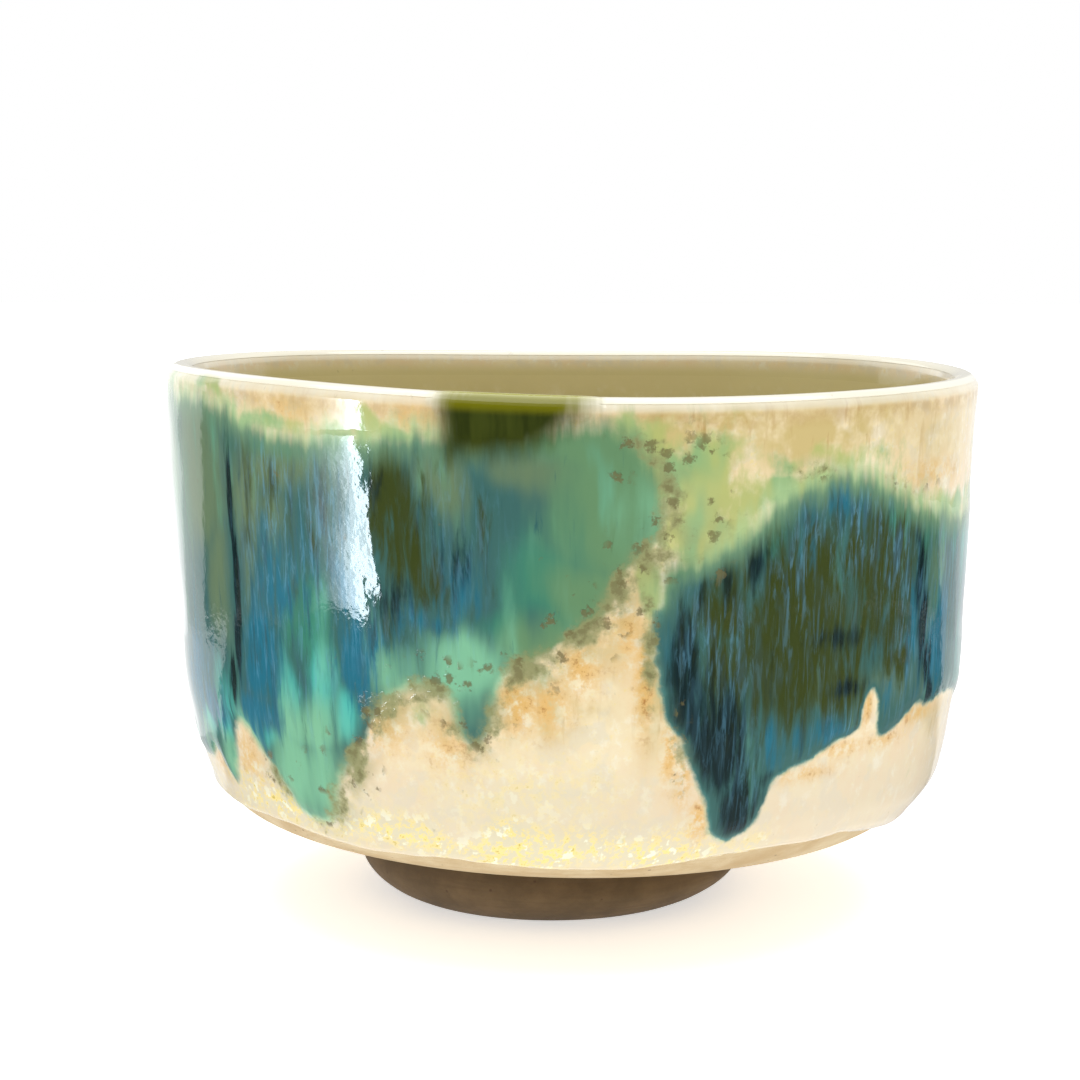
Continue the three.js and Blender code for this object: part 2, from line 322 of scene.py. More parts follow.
class Chart:
    """How far inside a pour's outline each place is, worked out once on a grid and then looked up."""

    STEP = 0.5
    MARGIN = 12

    def __init__(self, edges):
        line, on_top = outline(edges)
        self.low, self.high = line.min(axis=0) - self.MARGIN, line.max(axis=0) + self.MARGIN
        self.middle = (self.low[0] + self.high[0]) / 2
        counts = ((self.high - self.low) / self.STEP).astype(int) + 2
        grid = np.stack(np.meshgrid(*(np.arange(n) * self.STEP for n in counts), indexing="ij"), axis=-1)
        points = grid.reshape(-1, 2) + self.low
        depth, inside = distance_to(points, line, closed=True)
        to_top, _ = distance_to(points, line[on_top], closed=False)
        to_low, _ = distance_to(points, line[~on_top], closed=False)
        self.depth = np.where(inside, depth, -depth).reshape(counts)
        self.top = (to_low / (to_low + to_top + 1e-6)).reshape(counts)

    def at(self, azimuth, distance):
        """Millimetres inside the outline, negative outside, and how near the upper edge is, 0 to 1."""
        turned = self.middle + turn_from(azimuth, self.middle)
        place_in = np.stack(np.broadcast_arrays(turned, distance), axis=-1)
        cell = (np.clip(place_in, self.low, self.high) - self.low) / self.STEP
        base = cell.astype(int)
        share = cell - base
        found = []
        for chart in (self.depth, self.top):
            total = 0
            for corner in np.ndindex(2, 2):
                weight = np.prod(np.where(corner, share, 1 - share), axis=-1)
                total = total + weight * chart[base[..., 0] + corner[0], base[..., 1] + corner[1]]
            found.append(total)
        outside = np.any((place_in < self.low) | (place_in > self.high), axis=-1)
        return np.where(outside, -self.MARGIN, found[0]), found[1]


def patches(azimuth, distance, spots):
    """The strongest of some soft patches, each (azimuth, distance, half width, half height, weight)."""
    total = np.zeros(np.shape(azimuth))
    for at, down, wide, high, weight in spots:
        reach = (turn_from(azimuth, at) / wide) ** 2 + ((distance - down) / high) ** 2
        total = np.maximum(total, weight * np.exp(-reach))
    return total


CHARTS = {name: Chart(edges) for name, edges in {**POURS, "rim_splash": SPLASH}.items()}

# Soft patches of colour in the glazes, each (azimuth, distance, half width, half height, weight).
PATCHES = {
    "olive": [
        (-47.5, 15, 1.2, 10, 0.6), (19, 36, 4, 8, 1), (-38, 17, 1.1, 9, 0.75), (-34, 18, 0.9, 5, 0.6),
        (-42, 13, 2, 7, 0.5), (-31.5, 14, 0.8, 7, 0.5), (-24, 13, 2.6, 9, 1.2), (-21, 18, 3.6, 9, 1),
        (-17.5, 23, 2.6, 6, 0.7), (-11, 18, 1.1, 6, 0.6), (-24, 30, 4, 4, 0.6), (30, 31, 12, 14, 1.2),
        (44, 26, 8, 13, 1), (19, 28, 5, 7, 0.9), (34, 39, 9, 6, 1), (48, 38, 3.5, 4.5, 1),
        (28, 22, 3, 6, 0.7), (-100, 26, 12, 14, 0.7), (-80, 10, 12, 9, 0.5), (84, 30, 10, 12, 0.5),
        (104, 32, 12, 14, 0.8), (172, 22, 12, 12, 0.7), (196, 26, 9, 12, 0.7), (-118, 28, 7, 12, 0.6),
    ],
    "blue": [
        (-45.5, 36, 4.5, 9, 1.1), (-47, 45, 5, 4, 1), (-41, 27, 6, 6, 0.8), (-44, 21, 3, 6, 0.5),
        (-35, 23, 3, 7, 0.5), (-29, 36, 3.5, 8, 1), (-26, 33, 3, 4, 0.7), (-30, 27, 2, 5, 0.8),
        (-15, 24, 4, 6, 0.7), (-20, 30, 5, 3, 0.7), (-66, 42, 7, 10, 0.8), (-60, 46, 4, 4, 0.9),
        (36, 14, 9, 3.5, 0.7), (31, 20, 1.5, 7, 0.7), (43, 32, 2, 5, 0.5), (51, 34, 3, 9, 0.9),
        (44, 43, 5, 4, 0.6), (36, 47, 8, 3, 0.8), (12, 35, 1.4, 9, 0.8), (27, 48, 2, 6, 0.7),
        (60, 36, 6, 10, 0.8), (75, 30, 9, 12, 0.7), (92, 38, 10, 12, 0.7), (-110, 40, 9, 12, 0.7),
        (180, 34, 8, 12, 0.8), (164, 40, 6, 12, 0.7),
    ],
    # ink: inky runs, and near azimuth -51 and from 52 to 59 narrow dark strips that are painted reflections
    # of dark surroundings
    "ink_and_reflections": [
        (-50.8, 16, 0.7, 9, 1.1), (-50.4, 27, 0.9, 9, 1.3), (-51, 35, 0.9, 5, 1.2),
        (-52.8, 41, 1.2, 3.5, 1.1), (-24.6, 12, 1, 5, 0.6), (-22, 27, 5, 4, 0.5), (-14, 22, 3, 5, 0.55),
        (15, 40, 4, 9, 0.95), (19, 46, 5, 9, 1.1), (22, 55, 3.4, 6, 1.1), (23.5, 21, 1.6, 5, 0.9),
        (19.4, 24, 0.8, 5, 0.7), (16, 27, 0.8, 5, 0.6), (36, 33, 5, 2, 0.7), (39, 40, 4, 1.6, 0.8),
        (52, 19, 0.8, 4, 1), (53.4, 26, 1.3, 6, 1.2), (55, 33, 1.6, 6, 1.2), (56.6, 39, 1.6, 4, 1.1),
        (58.6, 43.5, 1.2, 2.5, 1), (27, 51, 3, 1.6, 0.7), (34, 50, 4, 1.2, 0.6), (14, 36, 3, 10, 0.9),
        (98, 48, 6, 8, 0.8), (172, 46, 5, 8, 0.8), (-106, 50, 5, 8, 0.5),
    ],
    "green": [
        (-3, 25, 6, 7, 1), (1, 18, 4, 8, 0.8), (-9, 29, 5, 3, 0.7), (-36, 33, 4, 9, 1.1),
        (-40, 8, 10, 2.5, 0.7), (-58, 47, 4, 6, 0.8), (-70, 16, 10, 14, 0.6), (66, 18, 12, 6, 0.8),
        (24, 18, 4, 3, 0.7), (47, 17, 4, 3, 0.7), (55, 20, 3, 5, 0.5), (160, 14, 10, 8, 0.7),
    ],
    "sage": [
        (6, 13, 8, 14, 1.3), (2, 6, 7, 5, 1), (3, 26, 7, 6, 1.1), (-5, 32, 5, 4, 1), (-80, 12, 12, 14, 0.8),
    ],
    "mint": [
        (-38, 54, 7, 9, 1), (-37, 46, 5.5, 6, 1), (-34.5, 37, 2.6, 8, 0.6), (9, 16, 4, 7, 0.4),
        (-14, 36, 6, 6, 1.1), (-23, 37, 5, 4, 0.8), (-58.5, 53, 3, 6, 0.7), (-50, 47.5, 4, 3, 0.7),
        (-110, 54, 6, 7, 0.8), (-66, 50, 6, 5, 0.7), (170, 56, 6, 7, 0.7),
    ],
    "wash": [
        (8, 9, 9, 6, 1.1), (15, 11, 7, 8, 1.2), (30, 9, 12, 3, 0.6), (16, 18, 7, 5, 1.3),
        (27, 13.5, 8, 3.5, 1.2), (38, 10, 9, 2.6, 0.75), (50, 14.5, 7, 2.6, 0.7), (62, 17, 9, 3, 0.9),
        (78, 15, 12, 4, 0.9), (9.5, 26, 1.6, 6, 1), (-24, 6, 8, 1.6, 0.9), (-44, 5.6, 10, 1.8, 0.9),
        (-55, 3, 6, 1.6, 0.8), (-80, 1.6, 16, 2, 0.8), (150, 8, 10, 5, 0.8), (205, 10, 10, 6, 0.8),
        (112, 11, 10, 4, 0.8), (-20, 40, 5, 3, 0.5), (-4, 36, 5, 2.5, 0.5),
    ],
    "streaks": [
        (-42, 20, 8, 17, 1), (-33, 18, 5, 15, 1), (-45, 38, 5, 10, 0.8), (-37, 36, 5, 12, 0.7),
        (-27, 33, 4, 7, 0.8), (38, 16, 13, 7, 1.1), (47, 22, 5, 9, 1), (29, 24, 4, 9, 0.8),
        (18, 34, 6, 12, 0.8), (22, 48, 4, 9, 0.6), (50, 34, 4, 13, 0.9), (40, 46, 9, 5, 0.8),
        (60, 27, 8, 14, 0.9), (-20, 31, 7, 4, 0.6), (-14, 18, 5, 8, 0.45), (-60, 45, 8, 6, 0.9),
        (31, 32, 9, 8, 0.4), (90, 26, 14, 14, 0.7), (-100, 30, 18, 16, 0.7), (180, 28, 22, 16, 0.8),
    ],
    "crust": [
        (-36, 56, 5, 4, 1), (-30, 49, 3.5, 6, 1), (-25, 41, 4, 4, 1), (-18, 38, 4, 3.5, 1),
        (-12, 42, 4, 5, 0.9), (-6, 35, 5, 4, 1), (1, 30, 5, 4, 1), (5, 25, 4, 5, 1), (9, 19, 4, 5, 0.9),
        (13, 13, 6, 9, 0.7), (16, 22, 5, 3, 0.4), (9.6, 34, 1.2, 8, 0.8), (14, 46, 1.2, 6, 0.7),
        (-44, 54, 4, 4, 0.7), (-38, 53, 5, 6, 0.6), (8, 8, 6, 4, 0.5), (50, 13, 12, 2, 0.3),
        (31, 10, 4, 2, 0.4), (-110, 55, 9, 5, 0.6), (165, 55, 6, 6, 0.6), (205, 38, 8, 8, 0.8),
    ],
    "rust": [
        (-7, 40, 3, 4, 1.2), (-3, 40, 3, 4, 1), (-25, 44, 4, 4, 0.8), (1, 35, 3, 4, 1), (7, 30, 2.5, 5, 0.9),
        (9, 36, 1.3, 8, 1.2), (12.5, 46, 1.1, 5, 1.2), (14.5, 50, 1.2, 4, 1.1), (17, 56, 1.4, 3, 1.1),
        (-16, 46, 4, 4, 0.7), (-52, 52, 4, 4, 0.8), (43.2, 43, 1.1, 3.5, 1), (39, 48.5, 5, 1.2, 0.8),
        (56, 46, 5, 1.3, 0.9), (55, 12, 8, 1.6, 0.7), (-63, 55, 4, 3, 0.6), (32, 51, 7, 1.3, 0.7),
        (48, 48.5, 4, 1.2, 0.8), (-39, 4, 5, 2, 0.5), (-20, 4, 4, 2, 0.6), (140, 30, 6, 10, 0.5),
        (216, 36, 6, 8, 0.6),
    ],
    "cyan": [
        (-35, 39, 3, 8, 1), (-39.5, 42, 3, 5, 0.8), (-31, 44, 2, 3.5, 1), (-45, 48, 2.5, 2, 0.7),
        (-50, 48, 3, 2, 0.9), (-58, 48, 4, 4, 0.8), (-63, 49, 4, 3, 0.9), (-44, 30, 3, 6, 0.35),
        (-80, 56, 12, 4, 0.7), (-56, 44, 3, 6, 0.8), (78, 22, 12, 12, 0.9), (76, 40, 10, 8, 0.5),
        (172, 52, 5, 6, 0.7),
    ],
    "haze": [
        (-61, 13, 8, 13, 1.3), (-48, 14, 4, 9, 0.9), (-40, 11, 11, 4.5, 1), (-43, 19, 6, 6, 0.7),
        (48, 41, 12, 5, 0.7), (33, 39, 6, 4, 0.6), (-30, 12, 4, 9, 0.7), (-16, 12, 4, 4, 0.9),
        (-5, 10, 7, 3.5, 0.9), (-48, 24, 2, 9, 0.7), (-56, 26, 4, 10, 0.9), (58, 24, 4, 8, 0.6),
        (3, 8, 3, 4, 0.6),
    ],
    "crystals": [
        (-46, 58, 14, 4, 1), (-24, 60, 12, 3.2, 1), (-4, 60, 16, 3, 1), (12, 60, 9, 3.4, 1),
        (24, 61.5, 6, 2.6, 0.6), (-50, 54, 4, 3, 0.6), (-6, 52, 14, 5, 0.35), (-100, 60, 30, 4, 0.8),
        (190, 61, 50, 4, 0.8),
    ],
    "tan": [
        (32, 5, 18, 6, 1.2), (56, 7, 14, 6, 0.6), (17, 5, 9, 5, 1.6), (-3, 41, 7, 4, 1), (10, 40, 3, 6, 0.9),
        (-36, 3.5, 12, 4, 0.7), (-20, 4, 4, 4, 0.9), (8, 25, 2.5, 4, 0.6), (4, 33, 5, 6, 0.6),
        (-20, 41, 8, 4, 0.6), (60, 47, 8, 2, 0.6), (133, 12, 12, 12, 0.6), (225, 12, 14, 12, 0.6),
    ],
}
STEADY = ("ink_and_reflections", "crust", "rust")  # these patches keep their outline, and the others wander


def glaze_line(azimuth):
    """The distance at which the outside coat ends."""
    ragged = 0.35 * grain(azimuth, 0, 5, 21) + 0.15 * grain(azimuth, 0, 1.7, 22)
    return np.interp(azimuth % 360, *zip(*GLAZE_LINE)) + ragged


def raggedness(azimuth, distance):
    """How far a poured edge strays from its outline, in millimetres."""
    return 0.5 * grain(azimuth, distance, 3.1, 11) + 0.3 * grain(azimuth, distance, 1.3, 12)


def glaze_fields(azimuth, distance):
    """Numbers at each point that say how the glazes run there."""
    azimuth, distance = np.broadcast_arrays(azimuth, distance)
    ragged = raggedness(azimuth, distance)
    streaky = grain(azimuth, distance, 1.1, 13, stretch=9)
    poured = np.full(azimuth.shape, -30.0)
    top = np.zeros(azimuth.shape)
    for name in POURS:
        depth, near_top = CHARTS[name].at(azimuth, distance)
        top = np.where(depth > poured, near_top, top)
        poured = np.maximum(poured, depth)
    near_edge = np.exp(-(poured / 4) ** 2)
    poured = poured + near_edge * (ragged + 0.8 * top**2 * streaky)
    splash, _ = CHARTS["rim_splash"].at(azimuth, distance)
    steady = azimuth, distance
    bent = (
        azimuth + 1.6 * grain(azimuth, distance, 6, 14, stretch=2),
        distance + 2.5 * grain(azimuth, distance, 6, 15),
    )
    fields = {
        "poured": poured,
        "top": top,
        "thick": 1 - np.exp(-np.maximum(poured, 0) / (1.2 + 4.5 * top)),
        "splash": splash + 0.4 * ragged,
        "down": distance,
    }
    for name, spots in PATCHES.items():
        fields[name] = patches(*(steady if name in STEADY else bent), spots)
    return fields


def unevenness(azimuth, distance):
    """The swells that hands leave on a thrown wall, and a thin ridge in it, in millimetres."""
    wall = smooth(0, 8, np.abs(distance)) * (1 - smooth(60, 70, np.abs(distance)))
    rings = 0.02 * np.sin(distance / 2.1 + 0.6 * np.sin(np.radians(azimuth)))
    soft = 0.16 * grain(azimuth, distance, 17, 31, stretch=1.4) + 0.07 * grain(azimuth, distance, 6, 32)
    crest = -24.4 + 1.1 * np.sin(distance / 3.9)
    span = smooth(9, 13, distance) * smooth(29, 26, distance)
    ridge = 0.07 * np.exp(-((turn_from(azimuth, crest) / 1.1) ** 2)) * span
    return wall * (rings + soft) + ridge


def coat_lift(azimuth, distance):
    """Height of the cream coat's wet face off the clay, with a rolled edge at the glaze line."""
    left = glaze_line(azimuth) - distance
    roll = COAT_ROLL * np.exp(-((left - 1.6) / COAT_EDGE) ** 2)
    edge = COAT * np.sqrt(np.clip(left / COAT_EDGE, 0, 1)) + roll
    return np.where(left > 0, edge, -0.05) + unevenness(azimuth, distance)


def pour_lift(azimuth, distance, depth, top):
    """Height of a pour's wet face off the clay: it thins to its edges and is fat in its drips."""
    full = POUR * (1 - np.exp(-np.maximum(depth, 0) / POUR_EDGE))
    bead = POUR_BEAD * (1 - top) ** 2 * np.exp(-((depth - 2.2) / 1.6) ** 2) * smooth(30, 50, distance)
    tucked = 0.05 * smooth(-0.4, 0.2, depth) - 0.05
    return coat_lift(azimuth, distance) + np.where(depth > 0, full + bead, tucked) + tucked


# ------------------------ meshes

def new_object(name, data):
    made = bpy.data.objects.new(name, data)
    bpy.context.scene.collection.objects.link(made)
    return made


def build(name, points, faces, fields, flow, material):
    """A piece on the bowl's one body. flow is where each point lies in the finishes' noise."""
    mesh = bpy.data.meshes.new(name)
    mesh.from_pydata([], [], [])
    mesh.vertices.add(len(points))
    mesh.vertices.foreach_set("co", np.ascontiguousarray(points, np.float32).ravel())
    sizes = np.array([len(f) for f in faces])
    mesh.loops.add(int(sizes.sum()))
    mesh.loops.foreach_set("vertex_index", np.concatenate([np.asarray(f) for f in faces]).astype(np.int32))
    mesh.polygons.add(len(faces))
    mesh.polygons.foreach_set("loop_start", np.concatenate([[0], np.cumsum(sizes)[:-1]]).astype(np.int32))
    mesh.update(calc_edges=True)
    attribute = mesh.attributes.new("flow", "FLOAT_VECTOR", "POINT")
    attribute.data.foreach_set("vector", flow.astype(np.float32).ravel())
    for key, values in fields.items():
        attribute = mesh.attributes.new(key, "FLOAT", "POINT")
        attribute.data.foreach_set("value", np.asarray(values, np.float32).ravel())
    mesh.shade_smooth()
    mesh.set_sharp_from_angle(angle=math.radians(50))
    mesh.materials.append(material)
    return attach(new_object(name, mesh), "root")


def round_and_down(azimuth, radius, down):
    """Places in the finishes' noise, in millimetres, that run round the bowl and down its wall."""
    a = np.radians(azimuth)
    return np.stack([radius * np.sin(a), -radius * np.cos(a), down], axis=-1)


def quads(n_rows, n_columns, round_rows, round_columns):
    """The faces of a grid, which may close on itself along its rows or its columns."""
    r, c = np.meshgrid(
        np.arange(n_rows - (not round_rows)), np.arange(n_columns - (not round_columns)), indexing="ij"
    )
    r2, c2 = (r + 1) % n_rows, (c + 1) % n_columns
    corners = [r * n_columns + c, r2 * n_columns + c, r2 * n_columns + c2, r * n_columns + c2]
    return np.stack([k.ravel() for k in corners], axis=1)


def layer(name, azimuths, rows, wet, material, keep=None, all_round=True, inside=False):
    """A closed layer of glaze: a wet face over rows of distances, and a hidden face buried below it.

    wet gives the wet face's lift, and keep says which points of the grid the layer covers. A layer
    inside takes its noise from its real radius and height, so that it isn't pinched at the middle.
    """
    azimuth, distance = np.meshgrid(azimuths, rows)
    lift = wet(azimuth, distance)
    faces = quads(*azimuth.shape, False, all_round)
    if keep is not None:
        faces = faces[keep(azimuth, distance).ravel()[faces].any(axis=1)]
    count = azimuth.size
    points = [place(azimuth, distance, lift), place(azimuth, distance, np.minimum(lift, 0) + BURIED)]
    points = np.concatenate([p.reshape(-1, 3) for p in points])
    edges = np.concatenate([faces[:, [i, (i + 1) % 4]] for i in range(4)])
    key = np.sort(edges, axis=1) @ [count, 1]
    _, first, times = np.unique(key, return_index=True, return_counts=True)
    rim = edges[first[times == 1]]
    sides = np.stack([rim[:, 1], rim[:, 0], rim[:, 0] + count, rim[:, 1] + count], axis=1)
    every = np.concatenate([faces, faces[:, ::-1] + count, sides])
    used, index = np.unique(every, return_inverse=True)
    every = index.reshape(every.shape)
    fields = {k: np.tile(v.ravel(), 2)[used] for k, v in glaze_fields(azimuth, distance).items()}
    reach, down = SKIN_RADIUS, distance
    if inside:
        reach, down = (np.interp(distance, section_s, c) for c in section_rz.T)
    flow = np.tile(round_and_down(azimuth, reach, down).reshape(-1, 3), (2, 1))[used]
    piece = build(name, points[used], every, fields, flow, material)
    weld(piece)
    return piece


def weld(piece):
    """Joins the points that meet on the axis, and drops the faces that this leaves without area."""
    made = bmesh.new()
    made.from_mesh(piece.data)
    bmesh.ops.remove_doubles(made, verts=made.verts, dist=1e-7)
    bmesh.ops.dissolve_degenerate(made, edges=made.edges, dist=1e-8)
    made.to_mesh(piece.data)
    made.free()
    piece.data.set_sharp_from_angle(angle=math.radians(50))


def turned_solid(name, profile, columns, material):
    """A turned piece from a profile of (radius, height) points, closed on itself or on the axis."""
    profile = np.array(profile, float)
    azimuths = np.linspace(-180, 180, columns, endpoint=False)
    azimuth, row = np.meshgrid(azimuths, np.arange(len(profile)))
    radius, height = profile[row, 0], profile[row, 1]
    points = handmade(azimuth, radius, height).reshape(-1, 3)
    on_axis = profile[0, 0] == 0
    faces = quads(len(profile), columns, not on_axis, True)
    along = length_along(profile)[row]
    flow = round_and_down(azimuth, radius, along).reshape(-1, 3)
    piece = build(name, points, faces, {}, flow, material)
    weld(piece)
    return piece


def rows_between(start, end, spacing):
    """Even steps from start to end, about spacing apart."""
    return np.linspace(start, end, max(2, int(round(abs(end - start) / spacing)) + 1))


# ------------------------ materials

def rgb(red, green, blue):
    """A colour given as it looks on a screen, 0 to 255."""
    shares = (red / 255, green / 255, blue / 255)
    linear = [c / 12.92 if c <= 0.04045 else ((c + 0.055) / 1.055) ** 2.4 for c in shares]
    return (*linear, 1.0)


CREAM = rgb(237, 222, 187)
CREAM_PALE = rgb(242, 237, 218)
CREAM_ROSE = rgb(237, 214, 178)
CREAM_GREY = rgb(224, 214, 192)
CREAM_LOW_SHADE = rgb(212, 200, 178)
CREAM_TAN = rgb(198, 178, 122)
TAN_STREAK = rgb(178, 142, 86)
BUTTER = rgb(240, 220, 142)
CRYSTAL_WHITE = rgb(236, 236, 214)
MOSS = rgb(196, 172, 70)
OCHRE = rgb(222, 180, 112)
RUST = rgb(172, 118, 62)
CRUST = rgb(140, 142, 98)
CRUST_DARK = rgb(106, 98, 64)
WASH_YELLOW = rgb(172, 180, 108)
WASH_GREEN = rgb(132, 172, 118)
PALE_MINT = rgb(164, 194, 142)
MINT = rgb(124, 184, 148)
EDGE_GREEN = rgb(106, 140, 110)
POOL = rgb(214, 208, 178)
EDGE_PALE = rgb(150, 178, 152)
EDGE_SLATE = rgb(78, 128, 122)
STEEL = rgb(60, 94, 110)
SAGE = rgb(98, 136, 98)
SEA_GREEN = rgb(60, 126, 104)
TEAL = rgb(60, 100, 96)
BLUE = rgb(36, 108, 130)
PALE_BLUE = rgb(104, 162, 190)
OLIVE = rgb(58, 66, 22)
HAZE = rgb(100, 122, 92)
CYAN = rgb(80, 184, 172)
OLIVE_DARK = rgb(42, 50, 16)
OLIVE_BRIGHT = rgb(124, 122, 14)
OLIVE_PALE = rgb(196, 194, 84)
INK_AND_DARK_REFLECTION = rgb(18, 32, 34)
# The inside creams are yellower than the outside cream, and painted darker as shade inside the bowl.
INSIDE_CREAM_SHADED = rgb(208, 195, 142)
INSIDE_SHADE = rgb(196, 184, 132)
INSIDE_POOL = rgb(150, 168, 112)
CLAY = rgb(206, 188, 152)
CLAY_DARK = rgb(186, 160, 118)
# The foot is the same clay as the bare strip above it, painted much darker as shade under the bowl.
FOOT_CLAY_SHADED = rgb(112, 90, 60)
FOOT_DARK_SHADED = rgb(90, 72, 46)
IRON = rgb(80, 58, 38)


class Shader:
    """A material's node tree, with a short call for each kind of node that the finishes use."""

    def __init__(self, name):
        self.material = bpy.data.materials.new(name)
        self.material.use_nodes = True
        self.tree = self.material.node_tree
        self.surface = self.tree.nodes["Principled BSDF"]

    def node(self, kind, inputs=(), **settings):
        made = self.tree.nodes.new("ShaderNode" + kind)
        for key, value in settings.items():
            setattr(made, key, value)
        for key, value in dict(inputs).items():
            self.feed(made.inputs[key], value)
        return made

    def feed(self, socket, value):
        if isinstance(value, bpy.types.NodeSocket):
            self.tree.links.new(value, socket)
        else:
            socket.default_value = value

    def field(self, name):
        return self.node("Attribute", attribute_name=name).outputs["Fac"]

    def math(self, operation, a, b=0.0, c=0.0):
        return self.node("Math", {0: a, 1: b, 2: c}, operation=operation).outputs[0]

    def product(self, first, *others):
        for other in others:
            first = self.math("MULTIPLY", first, other)
        return first

    def stir(self, value, noise, reach):
        """A value that a noise raises and lowers by up to half of reach."""
        return self.math("MULTIPLY_ADD", self.math("SUBTRACT", noise, 0.5), reach, value)

    def step(self, value, low, high):
        """0 at low and 1 at high, whichever is larger, with a soft change between."""
        inputs = {"Value": value, "From Min": low, "From Max": high}
        return self.node("MapRange", inputs, interpolation_type="SMOOTHSTEP").outputs["Result"]

    def mix(self, share, a, b):
        made = self.node("Mix", {0: share, 6: a, 7: b}, data_type="RGBA")
        return made.outputs[2]

    def lay(self, color, tint, *shares):
        """The colour with a tint over it, by the product of shares from 0 to 1."""
        return self.mix(self.product(*shares), color, tint)

    def ramp(self, value, *stops):
        made = self.node("ValToRGB", {"Fac": value})
        made.color_ramp.interpolation = "EASE"
        elements = made.color_ramp.elements
        while len(elements) < len(stops):
            elements.new(0.5)
        for element, (position, color) in zip(elements, stops):
            element.position = position
            element.color = color
        return made.outputs["Color"]

    def where(self, size, along, shift):
        """Place on the bowl's skin in units of size, drawn out down the wall by along."""
        flow = self.node("Attribute", attribute_name="flow").outputs["Vector"]
        inputs = {0: flow, 1: (1 / size, 1 / size, 1 / (size * along)), 2: (shift, shift, shift)}
        return self.node("VectorMath", inputs, operation="MULTIPLY_ADD").outputs[0]

    def noise(self, size, along=1.0, detail=3.0, rough=0.5, shift=0.0, warp=0.0):
        """Noise with features of that size in millimetres, drawn out down the wall by along."""
        inputs = {"Vector": self.where(size, along, shift), "Scale": 1.0}
        inputs |= {"Detail": detail, "Roughness": rough, "Distortion": warp}
        return self.node("TexNoise", inputs).outputs["Fac"]

    def spots(self, size, shift=0.0):
        """Distance from the middles of scattered dots, in dot spacings."""
        inputs = {"Vector": self.where(size, 1.0, shift), "Scale": 1.0}
        return self.node("TexVoronoi", inputs).outputs["Distance"]

    def bump(self, height, depth, below=None):
        inputs = {"Height": height, "Strength": 1.0, "Distance": depth * MM}
        if below is not None:
            inputs["Normal"] = below
        return self.node("Bump", inputs).outputs["Normal"]

    def finish(self, color, roughness, normal, **plain):
        self.feed(self.surface.inputs["Base Color"], color)
        self.feed(self.surface.inputs["Roughness"], roughness)
        self.feed(self.surface.inputs["Normal"], normal)
        for key, value in plain.items():
            self.surface.inputs[key.replace("_", " ")].default_value = value
        return self.material


def cream_color(sh):
    """The cream glaze: mottled, tan and streaked below the rim, with yellow crystals where it pools
    above the glaze line, and rust where iron bled out of the pours."""
    cloud = sh.noise(8, detail=4, rough=0.6)
    curd = sh.noise(2.4, detail=5, rough=0.65, shift=7)
    pebble = sh.noise(3.6, detail=3, rough=0.5, shift=11)
    color = sh.mix(sh.step(cloud, 0.4, 0.64), CREAM, CREAM_ROSE)
    color = sh.lay(color, CREAM_GREY, sh.step(pebble, 0.52, 0.62), 0.7)
    color = sh.lay(color, CREAM_PALE, sh.step(curd, 0.52, 0.7), 0.8)
    grit = sh.noise(0.9, detail=4, rough=0.7, shift=17)
    color = sh.lay(color, BUTTER, sh.step(grit, 0.56, 0.7), 0.45)

    streak = sh.noise(1.6, along=6, detail=4, rough=0.6, shift=3)
    tan = sh.field("tan")
    color = sh.lay(color, CREAM_TAN, tan, sh.step(cloud, 0.25, 0.55))
    color = sh.lay(color, TAN_STREAK, tan, sh.step(streak, 0.54, 0.68), 0.55)
    down = sh.field("down")
    under_lip = sh.product(sh.step(down, 1.6, 2.6), sh.step(down, 5, 2.8))
    color = sh.lay(color, TAN_STREAK, under_lip, sh.step(curd, 0.3, 0.7), 0.6)
    # painted highlight: the cream along the lip's ridge is painted paler, where it catches the light from
    # above
    color = sh.lay(color, CREAM_PALE, sh.step(sh.math("ABSOLUTE", down), 2.4, 1.0))
    # painted shade: down the inside of the lip the cream turns to the darker inside cream
    color = sh.lay(color, INSIDE_CREAM_SHADED, sh.step(down, -1.4, -4.2))

    # painted shade: the cream turns greyer and darker low on the wall, where it turns under towards the foot
    color = sh.lay(color, CREAM_LOW_SHADE, sh.step(down, 40, 60), 0.65)
    band = sh.field("crystals")
    clot = sh.noise(1.3, detail=5, rough=0.7, shift=13)
    chip = sh.noise(1.9, detail=3, rough=0.6, shift=19)
    color = sh.lay(color, POOL, band, 0.7)
    color = sh.lay(color, BUTTER, band, sh.step(clot, 0.47, 0.56))
    color = sh.lay(color, CRYSTAL_WHITE, band, sh.step(chip, 0.56, 0.62))
    color = sh.lay(color, MOSS, band, sh.step(clot, 0.6, 0.68))

    rust = sh.field("rust")
    bleed = sh.noise(2.2, detail=5, rough=0.7, shift=21)
    color = sh.lay(color, OCHRE, rust, sh.step(bleed, 0.36, 0.56))
    color = sh.lay(color, RUST, rust, sh.step(bleed, 0.56, 0.7))
    return color


def washed(sh, color):
    """A thin veil of the poured glaze over the cream, without an edge of its own."""
    cloud = sh.noise(3.2, along=1.6, detail=4, rough=0.6, shift=23)
    amount = sh.stir(sh.field("wash"), cloud, 1.5)
    hue = sh.noise(6, along=2, detail=2, shift=29)
    veil = sh.mix(sh.step(hue, 0.4, 0.6), WASH_YELLOW, WASH_GREEN)
    below_lip = sh.step(sh.field("down"), 0.4, 2.2)
    return sh.lay(color, veil, sh.step(amount, 0.25, 0.85), below_lip, 0.92)


CALM_STAINS = (("haze", HAZE), ("green", SEA_GREEN), ("sage", SAGE), ("cyan", CYAN), ("mint", MINT))


